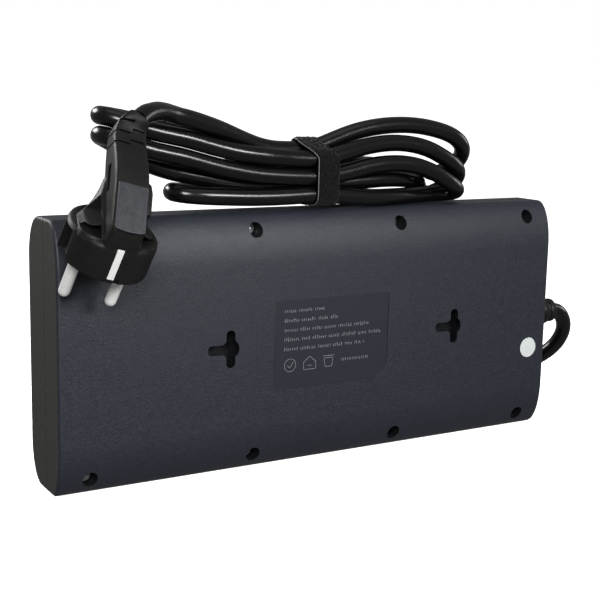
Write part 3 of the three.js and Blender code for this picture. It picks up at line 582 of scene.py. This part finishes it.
# ---------- the field's marks: greeked lines and three plain symbols ----------
def marks():
    rng = random.Random(5)
    tools = []
    y0, y1 = BACK_Y - LABEL["depth"] + 0.08, BACK_Y - LABEL["depth"] + 0.14

    def bar(xa, xb, za, zb):
        tools.append(prism([(xb, za), (xa, za), (xa, zb), (xb, zb)], "y", y0, y1))

    def stroke(ax, az, bx, bz, wide=0.27):
        d = Vector((bx - ax, bz - az)).normalized()
        n = Vector((-d.y, d.x)) * wide / 2
        tools.append(prism([(ax + n.x, az + n.y), (bx + n.x, bz + n.y), (bx - n.x, bz - n.y),
                            (ax - n.x, az - n.y)],
                           "y", y0, y1))

    lines = ((70.6, 22), (66.2, 27), (61.9, 45), (57.6, 51), (53.3, 42))
    for z, length in lines:
        x = 24.3
        while x > 24.3 - length:
            word = rng.uniform(3.2, 7.5)
            end = max(x - word, 24.3 - length)
            while x > end:
                step = rng.choice((0.62, 0.8, 0.95))
                tall = rng.choice((1.15, 1.15, 1.15, 1.65))
                bar(x, x - step * 0.36, z, z + tall)
                if rng.random() < 0.75:
                    at = z + rng.choice((0.0, 0.5, 0.95))
                    bar(x - step * 0.36, x - step * 0.8, at, at + 0.26)
                x -= step + 0.22
            x -= 1.0
    ring = circle(21.2, 46.6, 2.9, 40)
    for (ax, az), (bx, bz) in zip(ring, ring[1:] + ring[:1]):
        stroke(ax, az, bx, bz)
    stroke(22.6, 46.6, 21.4, 45.4)
    stroke(21.4, 45.4, 19.6, 48)
    house = [(14.2, 43.9), (14.2, 47.2), (11, 49.8), (7.8, 47.2), (7.8, 43.9)]
    for (ax, az), (bx, bz) in zip(house, house[1:] + house[:1]):
        stroke(ax, az, bx, bz)
    stroke(12.2, 45.6, 9.8, 45.6)
    box_outline = [(3.4, 48.2), (-1.4, 48.2), (-0.8, 44.2), (2.8, 44.2)]
    for (ax, az), (bx, bz) in zip(box_outline, box_outline[1:] + box_outline[:1]):
        stroke(ax, az, bx, bz)
    stroke(3.9, 49.2, -1.9, 49.2)
    x = -6
    while x > -21:
        step = rng.choice((0.62, 0.8, 0.95))
        bar(x, x - step * 0.4, 46, 47.3)
        x -= step + 0.25
    points, faces = [], []
    for tool in tools:
        base = len(points)
        points += [[c / MM for c in v.co] for v in tool.vertices]
        faces += [[base + i for i in f.vertices] for f in tool.polygons]
    mesh = bpy.data.meshes.new("marks")
    mesh.from_pydata([[c * MM for c in p] for p in points], [], faces)
    return finish(shown(mesh, "rating_marks"), INK)


marks()
sticker = shown(turned([(0, BACK_Y + 0.02), (4.9, BACK_Y + 0.02), (5.0, BACK_Y + 0.08), (5.0, BACK_Y + 0.14),
                        (4.85, BACK_Y + 0.2), (0, BACK_Y + 0.2)], "y", (-117.6, 41.7), 64), "sticker")
finish(sticker, PAPER, replaces=["inspection_sticker"])


# ---------- sockets ----------
def socket(number, x, z):
    rim = [(FLANGE_R - 1.2 + 1.2 * math.sin(a), RIM_Y + 1.2 - 1.2 * math.cos(a))
           for a in (k / 5 * math.pi / 2 for k in range(6))]
    lip = [(WELL_R + 1.0 - 1.0 * math.sin(a), RIM_Y + 1.0 - 1.0 * math.cos(a))
           for a in (k / 5 * math.pi / 2 for k in range(5, -1, -1))]
    profile = ([(0, 0), (0, WELL_FLOOR_Y), (WELL_R - 0.6, WELL_FLOOR_Y), (WELL_R, WELL_FLOOR_Y - 0.6)] + lip
               + rim + [(FLANGE_R, FRONT_Y - 0.05), (CUP_R, FRONT_Y - 0.05), (CUP_R, 0), (0, 0)])
    piece = shown(turned(profile, "y", (x, z), 96), f"socket_{number}")
    adds = []
    for s in (-1, 1):
        zc = z + s * 18.7
        adds.append(prism(rounded(x - 2.7, x + 2.7, zc - 1.5, zc + 1.5, 0.5, 3), "y", RIM_Y + 1.5,
                          WELL_FLOOR_Y + 0.2))
        zr = z + s * (13.3 + 1.1)
        adds.append(block(x - 12.2, x + 5.4, -0.5, 4.2, zr - 0.7, zr + 0.7))
    adds.append(block(x + 3.9, x + 5.4, -0.5, 4.2, z - 15, z + 15))
    adds.append(block(x - 12.2, x - 10.9, -0.5, 4.2, z - 15, z + 15))
    combine(piece, adds, "UNION")
    cuts = [prism(circle(x, z + s * PIN_HALF_PITCH, 3, 32), "y", -6, 0.3) for s in (-1, 1)]
    cuts += [block(x + s * 20.3 - 1.8, x + s * 20.3 + 1.8, RIM_Y + 4.2, 1, z - 3.6, z + 3.6) for s in (-1, 1)]
    combine(piece, cuts, "DIFFERENCE")
    bevel(piece, 0.22, 2)
    return finish(piece, INSERT, replaces=[f"socket_insert_{number}"])


count = 0
for row_z in SOCKET_ROWS:
    for column_x in SOCKET_COLUMNS:
        count += 1
        socket(count, column_x, row_z)


# ---------- switch ----------
def switch():
    s = SWITCH
    x, z = s["x"], s["z"]
    body = shown(block(x - s["half_x"], x + s["half_x"], FRONT_Y - 0.5, s["back_y"], z - s["half_z"],
                       z + s["half_z"]),
                 "switch_body")
    combine(body, [prism(rounded(x - s["half_x"] - 1.7, x + s["half_x"] + 1.7, z - s["half_z"] - 1.2,
                                 z + s["half_z"] + 1.2, 1.6), "y", FRONT_Y - 1.4, FRONT_Y - 0.05)], "UNION")
    mouth = prism(rounded(x - ROCKER_HALF_X - 0.35, x + ROCKER_HALF_X + 0.35, z - 13.5, z + 13.5, 0.6), "y",
                  FRONT_Y - 3, -6)
    half = ROCKER_HALF_X + 1.7
    bearing = turned([(0, x - half), (1.8, x - half), (1.8, x + half), (0, x + half)], "x",
                     (s["pivot_y"], z), 32)
    combine(body, [mouth, bearing], "DIFFERENCE")
    bevel(body, 0.35, 3)
    finish(body, SWITCH_BLACK, replaces=["switch_housing"])

    rise = 4.5 + 12.4 * math.tan(s["tilt"])
    face = []
    for k in range(-12, 13):
        t = k / 12 * 12.4
        face.append((-4.5 - (rise - 4.5) * abs(t / 12.4) ** 1.25, t))
    outline = face + [(0, 12), (3.4, 6), (3.4, -6), (0, -12)]
    ca, sa = math.cos(s["tilt"]), math.sin(s["tilt"])

    def tilted(points):
        return [(s["pivot_y"] + y * ca - v * sa, z + y * sa + v * ca) for y, v in points]

    rocker = shown(prism(tilted(outline), "x", x - ROCKER_HALF_X, x + ROCKER_HALF_X), "rocker")
    half = ROCKER_HALF_X + 1.3
    pin = turned([(0, x - half), (1.5, x - half), (1.5, x + half), (0, x + half)], "x", (s["pivot_y"], z), 32)
    combine(rocker, [pin], "UNION")
    bevel(rocker, 0.5, 3)
    finish(rocker, ROCKER_RED, body="rocker", replaces=["switch_rocker"])

    def on_face(u, v, lift):
        y = -4.5 - (rise - 4.5) * abs(v / 12.4) ** 1.25 - lift
        return (x + u, s["pivot_y"] + y * ca - v * sa, z + y * sa + v * ca)

    def ribbon(name, inner, outer, closed):
        rings = []
        for (ui, vi), (uo, vo) in zip(inner, outer):
            rings.append([on_face(ui, vi, -0.2), on_face(uo, vo, -0.2), on_face(uo, vo, 0.05),
                          on_face(ui, vi, 0.05)])
        if closed:
            rings.append(rings[0])
        return finish(shown(loft(rings, caps=not closed), name), WHITE_MARK, body="rocker")

    ring_points = [(math.cos(2 * math.pi * k / 40), math.sin(2 * math.pi * k / 40)) for k in range(40)]
    ribbon("mark_off", [(1.9 * c, -7.4 + 1.9 * v) for c, v in ring_points],
           [(2.5 * c, -7.4 + 2.5 * v) for c, v in ring_points], True)
    ribbon("mark_on", [(-0.3, 5 + k * 0.7) for k in range(8)], [(0.3, 5 + k * 0.7) for k in range(8)], False)


switch()


# ---------- USB ports ----------
def port(number, z):
    x = USB_X
    shell = shown(prism(rounded(x - 6.6, x + 6.6, z - 2.9, z + 2.9, 0.7), "y", FRONT_Y + 0.1, 0.7),
                  f"port_{number}")
    combine(shell, [prism(rounded(x - 6, x + 6, z - 2.3, z + 2.3, 0.5), "y", FRONT_Y - 1, -4)], "DIFFERENCE")
    bevel(shell, 0.12, 2)
    finish(shell, STEEL, replaces=[f"usb_port_{number}"])
    tongue = shown(block(x - 5.5, x + 5.5, FRONT_Y + 1.2, -4.1, z + 0.3, z + 1.9), f"port_tongue_{number}")
    bevel(tongue, 0.15, 2)
    finish(tongue, TONGUE)
    for k in range(4):
        cx = x - 3.6 + 2.4 * k
        strip = shown(block(cx - 0.5, cx + 0.5, FRONT_Y + 2, -5, z + 0.18, z + 0.28),
                      f"port_contact_{number}_{k + 1}")
        bevel(strip, 0.04, 1)
        finish(strip, BRASS)


for number, row in enumerate(USB_ROWS, 1):
    port(number, row)


# ---------- grommet ----------
def grommet():
    g, end = GLAND, -LENGTH / 2
    out, neck, flange = end - CLEAR, g["r"] - 0.6, end + WALL + CLEAR
    t = g["tip_x"]

    def rib(a, b, r):
        return [(r - 0.5, a), (r - 0.12, a + 0.35), (r, a + 0.9), (r, b - 0.9), (r - 0.12, b - 0.35),
                (r - 0.5, b)]

    profile = ([(0, t), (g["tip_r"] - 1.0, t), (g["tip_r"] - 0.25, t + 0.35), (g["tip_r"], t + 1.0)]
               + rib(t + 1.1, t + 4.3, g["tip_r"] + 0.9) + [(g["tip_r"] - 0.3, t + 4.6),
                                                            (g["tip_r"] - 0.3, t + 5.6)]
               + rib(t + 5.9, t + 9.9, g["r"] + 0.1) + [(g["tip_r"] + 0.2, t + 10.2),
                                                        (g["tip_r"] + 0.2, t + 11.4)]
               + rib(t + 11.7, out - 3.4, g["r"] + 0.5)
               + [(g["r"] - 0.2, out - 3.1), (g["r"] + 0.9, out - 2.6), (g["r"] + 1.2, out - 2.2),
                  (g["r"] + 1.2, out),
                  (neck, out), (neck, flange), (g["r"] + 1.4, flange), (g["r"] + 1.4, flange + 2),
                  (0, flange + 2)])
    piece = shown(turned(profile, "x", (SPLIT_Y, g["z"]), 72), "grommet")
    return finish(piece, GROMMET, replaces=["cord_grommet"], sharp=50)


grommet_piece = grommet()


# ---------- tie ----------
TIE_CENTRES = ((11.3, 137.3), (11.3, 129.5), (11.3, 121.7), (3.4, 141.4), (3.4, 133.4), (3.4, 125.6),
               (-4.4, 121.7),
               (-4.4, 129.5))


def tie():
    steps, across = 260, 22
    rng = np.random.default_rng(3)

    def lean(z):
        t = min(1, max(0, (z - 137) / 9))
        return 5.2 * t * t * (3 - 2 * t)

    def ring_at(u, outward):
        """u runs over the width from 0 to 1."""
        row = []
        for k in range(steps):
            a = 2 * math.pi * k / steps
            n = (math.cos(a), math.sin(a))
            cy, cz = max(TIE_CENTRES, key=lambda c: c[0] * n[0] + c[1] * n[1])
            r = CORD_D / 2 + outward
            row.append((u, cy + r * n[0], cz + r * n[1]))
        return row

    def smooth_ring(row):
        p = np.array(row)
        run = np.linalg.norm(np.diff(np.vstack([p, p[:1]])[:, 1:], axis=0), axis=1)
        run = np.concatenate([[0], np.cumsum(run)])
        closed = np.vstack([p, p[:1]])
        at = np.linspace(0, run[-1], steps, endpoint=False)
        q = np.stack([np.interp(at, run, closed[:, i]) for i in (1, 2)], 1)
        for _ in range(3):
            q = (np.roll(q, 1, 0) + 2 * q + np.roll(q, -1, 0)) / 4
        return q

    outer, inner = smooth_ring(ring_at(0, 1.45)), smooth_ring(ring_at(0, 0.25))
    rings = []
    width = 11.2
    columns = ([(0.0, -0.485)] + [(1.0, -0.5 + 0.03 + 0.94 * k / (across - 1)) for k in range(across)]
               + [(0.0, 0.485)])
    rough = rng.normal(0, 1, (steps, len(columns)))
    rough = (rough + np.roll(rough, 1, 0)) / 1.5
    for i in range(steps):
        ring = []
        for j, (out, u) in enumerate(columns):
            q = inner[i] + (outer[i] - inner[i]) * out
            centre = np.array([3.4, 131])
            way = (q - centre) / np.linalg.norm(q - centre)
            edge = 1 - max(0, abs(u) - 0.42) * 6
            bulge = (0.24 * rough[i, j] * out) + (edge - 1) * 0.9 * out
            q = q + way * bulge
            ring.append((1.0 + u * width + lean(q[1]), q[0], q[1]))
        rings.append(ring)
    rings.append(rings[0])
    piece = shown(loft(rings, caps=False), "hook_and_loop_tie")
    finish(piece, TIE, replaces=["hank_tie"], sharp=180)

    # A thin lighter tube running all round the tie's edge: a painted highlight.
    edge_points = []
    for i in range(steps):
        q = inner[i] + (outer[i] - inner[i]) * 0.55
        edge_points.append((1.0 + 0.49 * width + lean(q[1]), q[0], q[1]))
    curve = bpy.data.curves.new("tie_edge_painted_highlight", "CURVE")
    curve.dimensions = "3D"
    line = curve.splines.new("POLY")
    line.points.add(steps - 1)
    line.use_cyclic_u = True
    for point, place in zip(line.points, edge_points):
        point.co = (*(Vector(place) * MM), 1)
    curve.bevel_depth = 0.26 * MM
    curve.bevel_resolution = 3
    curve.materials.append(TIE_EDGE_HIGHLIGHT)
    highlight_edging = bpy.data.objects.new("tie_edge_highlight", curve)
    bpy.context.scene.collection.objects.link(highlight_edging)
    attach(highlight_edging, "housing")
    return piece, highlight_edging


tie_piece, tie_edge_highlight = tie()


# ---------- plug ----------
PLUG_FACE = Vector((115.9, 35.7, 101.8))
back_axis = Vector((-0.1979, 0.4146, 0.8883)).normalized()
across_axis = Vector((-0.9602, 0.1002, -0.2607))
across_axis = (across_axis - across_axis.dot(back_axis) * back_axis).normalized()
lean_axis = back_axis.cross(across_axis)
PLUG_FRAME = Matrix((across_axis, lean_axis, back_axis)).transposed()
LEAN = math.radians(52)
HEAD_R = 18


def arm(along, off):
    return (along * math.sin(LEAN) - off * math.cos(LEAN), along * math.cos(LEAN) + off * math.sin(LEAN))


def to_world(mesh):
    matrix = Matrix.Translation(PLUG_FACE * MM) @ PLUG_FRAME.to_4x4()
    mesh.transform(matrix)
    return mesh


def world_point(x, y, z):
    return PLUG_FACE + PLUG_FRAME @ Vector((x, y, z))


def superellipse(power, steps=56):
    made = []
    for k in range(steps):
        a = 2 * math.pi * (k + 0.5) / steps
        c, s = math.cos(a), math.sin(a)
        made.append((math.copysign(abs(c) ** (2 / power), c), math.copysign(abs(s) ** (2 / power), s)))
    return made


NECK_TIP = Vector((98.6, 31, 154.9))
NECK_WAY = Vector((-0.75, -0.5, 0.43)).normalized()


def ring_across(centre, side, deep, half, thick, power):
    return [centre + side * half * u + deep * thick * v for u, v in superellipse(power)]


def plug_shell():
    """Head, arm and neck. Stations give the front and back point of the arm's section and its half width."""
    stations = [
        ((-17.2, 11.5), (8.0, 11.5), 7.6, 6), ((-17.45, 15), (8.0, 14.6), 7.3, 6),
        ((-17.55, 19), (6.2, 18.0), 7.0, 6),
        ((-17.5, 22.0), (4.6, 21.6), 6.9, 7), (arm(1.2, 29.0), arm(17.5, 14.4), 6.9, 8),
        (arm(6, 29), arm(20, 13.9), 6.9, 8), (arm(13, 29), arm(23.5, 13.4), 6.9, 8),
        (arm(20, 28.9), arm(27.5, 13.0), 6.9, 8), (arm(25.5, 28.1), arm(31, 12.5), 6.9, 7),
        (arm(31, 26.6), arm(34.5, 12.0), 6.9, 6.5), (arm(36, 24.6), arm(37.5, 11.6), 6.85, 6),
        (arm(40, 22.9), arm(40.3, 11.4), 6.8, 6), (arm(43, 22.2), arm(43, 11.5), 6.75, 5.5),
        (arm(46, 21.8), arm(46, 11.8), 6.6, 5),
    ]
    rings = []
    for front, rear, half, power in stations:
        cy, cz = (front[0] + rear[0]) / 2, (front[1] + rear[1]) / 2
        dy, dz = (front[0] - rear[0]) / 2, (front[1] - rear[1]) / 2
        rings.append([world_point(half * u, cy + dy * v, cz + dz * v) for u, v in superellipse(power)])
    start = world_point(0, *arm(46, 16.8))
    start_way = (world_point(0, *arm(1, 0)) - world_point(0, 0, 0)).normalized()
    front_way = (world_point(0, *arm(0, 1)) - world_point(0, 0, 0)).normalized()
    span = (NECK_TIP - start).length
    for t in (0.3, 0.55, 0.78, 0.94, 1.0):
        h00, h10 = 2 * t ** 3 - 3 * t ** 2 + 1, t ** 3 - 2 * t ** 2 + t
        h01, h11 = -2 * t ** 3 + 3 * t ** 2, t ** 3 - t ** 2
        centre = h00 * start + h10 * span * start_way + h01 * NECK_TIP + h11 * span * NECK_WAY
        way = (start_way * (1 - t) + NECK_WAY * t).normalized()
        side = (across_axis - across_axis.dot(way) * way).normalized()
        deep = way.cross(side)
        if deep.dot(front_way) < 0:
            deep = -deep
        shrink = 0.6 if t == 1.0 else (0.15 if t > 0.9 else 0)
        rings.append(ring_across(centre - deep * 0.6 * t, side, deep, 6.6 - 1.7 * t - shrink,
                                 5.0 - 0.55 * t - shrink, 5 - 1.9 * t))
    shell = shown(loft(rings), "plug_arm")

    head = turned([(0, 0), (17.0, 0), (17.6, 0.2), (18, 0.9), (18, 12.6), (17.6, 14.0), (16.6, 14.8),
                   (15.4, 15),
                   (0, 15)], "z", (0, 0), 120)
    flare = []
    for z, front, rear, half in ((12.5, -14.5, 8.0, 16.2), (14.6, -14.3, 8.0, 15.7), (15.6, -13.9, 8.2, 14.9),
                                 (17, -12.6, 8.6, 13.4), (19, -10, 9.2, 11.9), (21, -6.8, 10, 10.6),
                                 (23, -3.2, 11, 9.5), (25, 0.6, 12, 8.6), (27, 4.4, 13.2, 7.8),
                                 (29, 8, 14.4, 7.0),
                                 (31, 11.6, 15.5, 6.0)):
        flare.append([world_point(half * u, (front + rear) / 2 + (rear - front) / 2 * v, z)
                      for u, v in superellipse(3.4)])
    wing = []
    for half, grow in ((5.4, 0), (7.4, 0), (8.3, -0.6), (8.5, -1.4)):
        outline = [arm(9 - grow, 28.2 + grow), arm(19 + grow, 28.2 + grow), arm(23.5 + grow, 25.5),
                   arm(23.5 + grow, 20 - grow), arm(9 - grow, 20 - grow)]
        wing.append([world_point(half, *point) for point in outline])
    combine(shell, [to_world(head), loft(flare), loft(wing)], "UNION")
    cuts = []
    for s in (-1, 1):
        low, high = sorted((s * 14.9, s * 20.5))
        cuts.append(to_world(block(low, high, -7.6, 2.8, -1, 12.4)))
        cuts.append(to_world(block(-1.75, 1.35, *sorted((s * 16.9, s * 20)), 1.4, 14.9)))
        cuts.append(to_world(turned([(0, -1), (2.7, -1), (2.7, 6), (0, 6)], "z", (s * PIN_HALF_PITCH, 0),
                                    32)))
        cuts.append(to_world(block(1.0, 3.2, *sorted((s * 16.6, s * 19)), -1, 2.2)))
        for pocket, end in (([(s * 7.6, 15.3), (s * 15.2, 15.3), (s * 13.4, 16.9), (s * 8.2, 18.9)], -3),
                            ([(s * 7.6, 20.0), (s * 13.6, 17.7), (s * 11.9, 21.0), (s * 9.0, 27.6)], 4)):
            cuts.append(to_world(prism(pocket if s > 0 else pocket[::-1], "y", -18, end)))
    slot = [arm(19, 18.4), arm(19, 21.8), arm(30.5, 21.6), arm(30.5, 18.2)]
    cuts.append(to_world(prism(slot, "x", -8, -5.4)))
    for along, left, right in ((39.4, -8, -0.6), (44.8, -8, -0.7), (49.6, -6.2, 0.3), (41.6, -0.7, 5.3),
                               (46.7, 0.1, 5.2)):
        y, z = arm(along, 22)
        groove = block(left, right, -0.42, 0.42, -1.3, 3)
        slope = Matrix.Rotation(math.radians(-3), 4, "Z")
        stand = Matrix(((1, 0, 0, 0), (0, math.sin(LEAN), -math.cos(LEAN), y * MM),
                        (0, math.cos(LEAN), math.sin(LEAN), z * MM), (0, 0, 0, 1)))
        groove.transform(stand @ slope)
        cuts.append(to_world(groove))
        if left < -7:
            side_groove = block(-8.5, -6.1, -0.42, 0.42, -8, -0.6)
            side_groove.transform(stand)
            cuts.append(to_world(side_groove))
    combine(shell, cuts, "DIFFERENCE")
    bevel(shell, 0.3, 2, 42)
    return finish(shell, PLUG, replaces=["plug_body", "plug_neck"], sharp=40)


def plug_parts():
    made = [plug_shell()]
    outline = [(-5.9, 19.4), (5.9, 19.4), (5.9, 0.9)]
    outline += [(5.9 * math.cos(k / 12 * math.pi), 0.9 - 1.3 * math.sin(k / 12 * math.pi)) for k in range(1,
                                                                                                          12)]
    outline += [(-5.9, 0.9)]
    rings = []
    for off in (28.4, 29.75):
        rings.append([world_point(u, *arm(a, off)) for u, a in outline])
    panel = shown(loft(rings), "grip_panel")
    bevel(panel, 0.35, 3)
    made.append(finish(panel, PANEL, replaces=["plug_grip_panel"]))
    for number, s in enumerate((-1, 1), 1):
        profile = [(0, -19), (1.2, -18.85), (1.9, -18.3), (2.3, -17.4), (2.4, -16.4), (2.4, 5.6), (0, 5.6)]
        pin = shown(to_world(turned(profile, "z", (s * PIN_HALF_PITCH, 0), 48)), f"pin_{number}")
        made.append(finish(pin, NICKEL, replaces=[f"plug_pin_{number}"]))
        y = s * (HEAD_R - 0.75)
        strip = shown(to_world(block(-1.6, 1.2, y - 0.5, y + 0.5, 1.6, 14.6)), f"earth_strip_{number}")
        bevel(strip, 0.25, 2)
        made.append(finish(strip, NICKEL, replaces=[f"plug_earth_strip_{number}"]))
    return made


plug_pieces = plug_parts()


# ---------- carried-over CAD pieces ----------
LOOKS = {
    "case_screw": STEEL, "clamp_screw": STEEL, "socket_shutter": SHUTTER, "live_bar": BRASS,
    "neutral_bar": BRASS,
    "earth_bar": BRASS, "usb_board": BOARD, "usb_transformer": COIL, "usb_capacitor": SWITCH_BLACK,
    "cord_jacket_end": CORD, "cord_clamp": SWITCH_BLACK, "live_lead": LEAD_BROWN, "neutral_lead": LEAD_BLUE,
    "earth_lead": LEAD_GREEN,
}
for name, node in nodes.items():
    if node.hide_render:
        continue
    look = next(look for start, look in LOOKS.items() if name.startswith(start))
    node.data.materials.clear()
    node.data.materials.append(look)


# ---------- floor and light ----------
floor_mesh = bpy.data.meshes.new("floor")
SIZE = 12.0
floor_mesh.from_pydata([(-SIZE, -SIZE, 0), (SIZE, -SIZE, 0), (SIZE, SIZE, 0), (-SIZE, SIZE, 0)], [],
                       [(0, 1, 2, 3)])
floor_mesh.transform(Matrix.Translation((0, 0, -0.0002)))
floor = shown(floor_mesh, "floor")
floor_look = material("floor", (0.92, 0.92, 0.92), 0.9, mottle=0.01, mottle_size=60)
floor_look.node_tree.nodes["Principled BSDF"].inputs["Emission Color"].default_value = (1, 1, 1, 1)
floor_look.node_tree.nodes["Principled BSDF"].inputs["Emission Strength"].default_value = 0.82
floor.data.materials.append(floor_look)
floor.visible_diffuse = False
floor.visible_glossy = False

world = bpy.data.worlds.new("studio")
bpy.context.scene.world = world
world.use_nodes = True
tree = world.node_tree
background = tree.nodes["Background"]
background.inputs["Color"].default_value = (1, 1, 1, 1)
seen = tree.nodes.new("ShaderNodeLightPath").outputs["Is Camera Ray"]
strength = tree.nodes.new("ShaderNodeMapRange")
strength.inputs["To Min"].default_value = 0.26
strength.inputs["To Max"].default_value = 1.0
tree.links.new(seen, strength.inputs["Value"])
tree.links.new(strength.outputs["Result"], background.inputs["Strength"])


def area_light(name, place, target, size, power):
    lamp = bpy.data.lights.new(name, "AREA")
    lamp.shape = "RECTANGLE"
    lamp.size, lamp.size_y = size
    lamp.energy = power
    made = bpy.data.objects.new(name, lamp)
    bpy.context.scene.collection.objects.link(made)
    made.location = place
    made.rotation_euler = (Vector(target) - Vector(place)).to_track_quat("-Z", "Y").to_euler()
    return made


area_light("key", (-0.13, 0.5, 0.30), (0.06, 0, 0.1), (0.22, 0.12), 3.7)
area_light("left_fill", (0.34, 0.5, 0.30), (0.1, 0, 0.06), (0.22, 0.16), 4.7)
area_light("front_fill", (0.5, -0.7, 0.58), (0, 0, 0.06), (0.5, 0.3), 9)
area_light("side_fill", (-0.9, 0.1, 0.3), (-0.1, 0, 0.06), (0.3, 0.3), 1.2)
sky = bpy.data.lights.new("overhead", "SUN")
sky.energy = 0.5
sky.angle = math.radians(50)
overhead = bpy.data.objects.new("overhead", sky)
bpy.context.scene.collection.objects.link(overhead)
overhead.rotation_euler = (math.radians(-12), 0, 0)
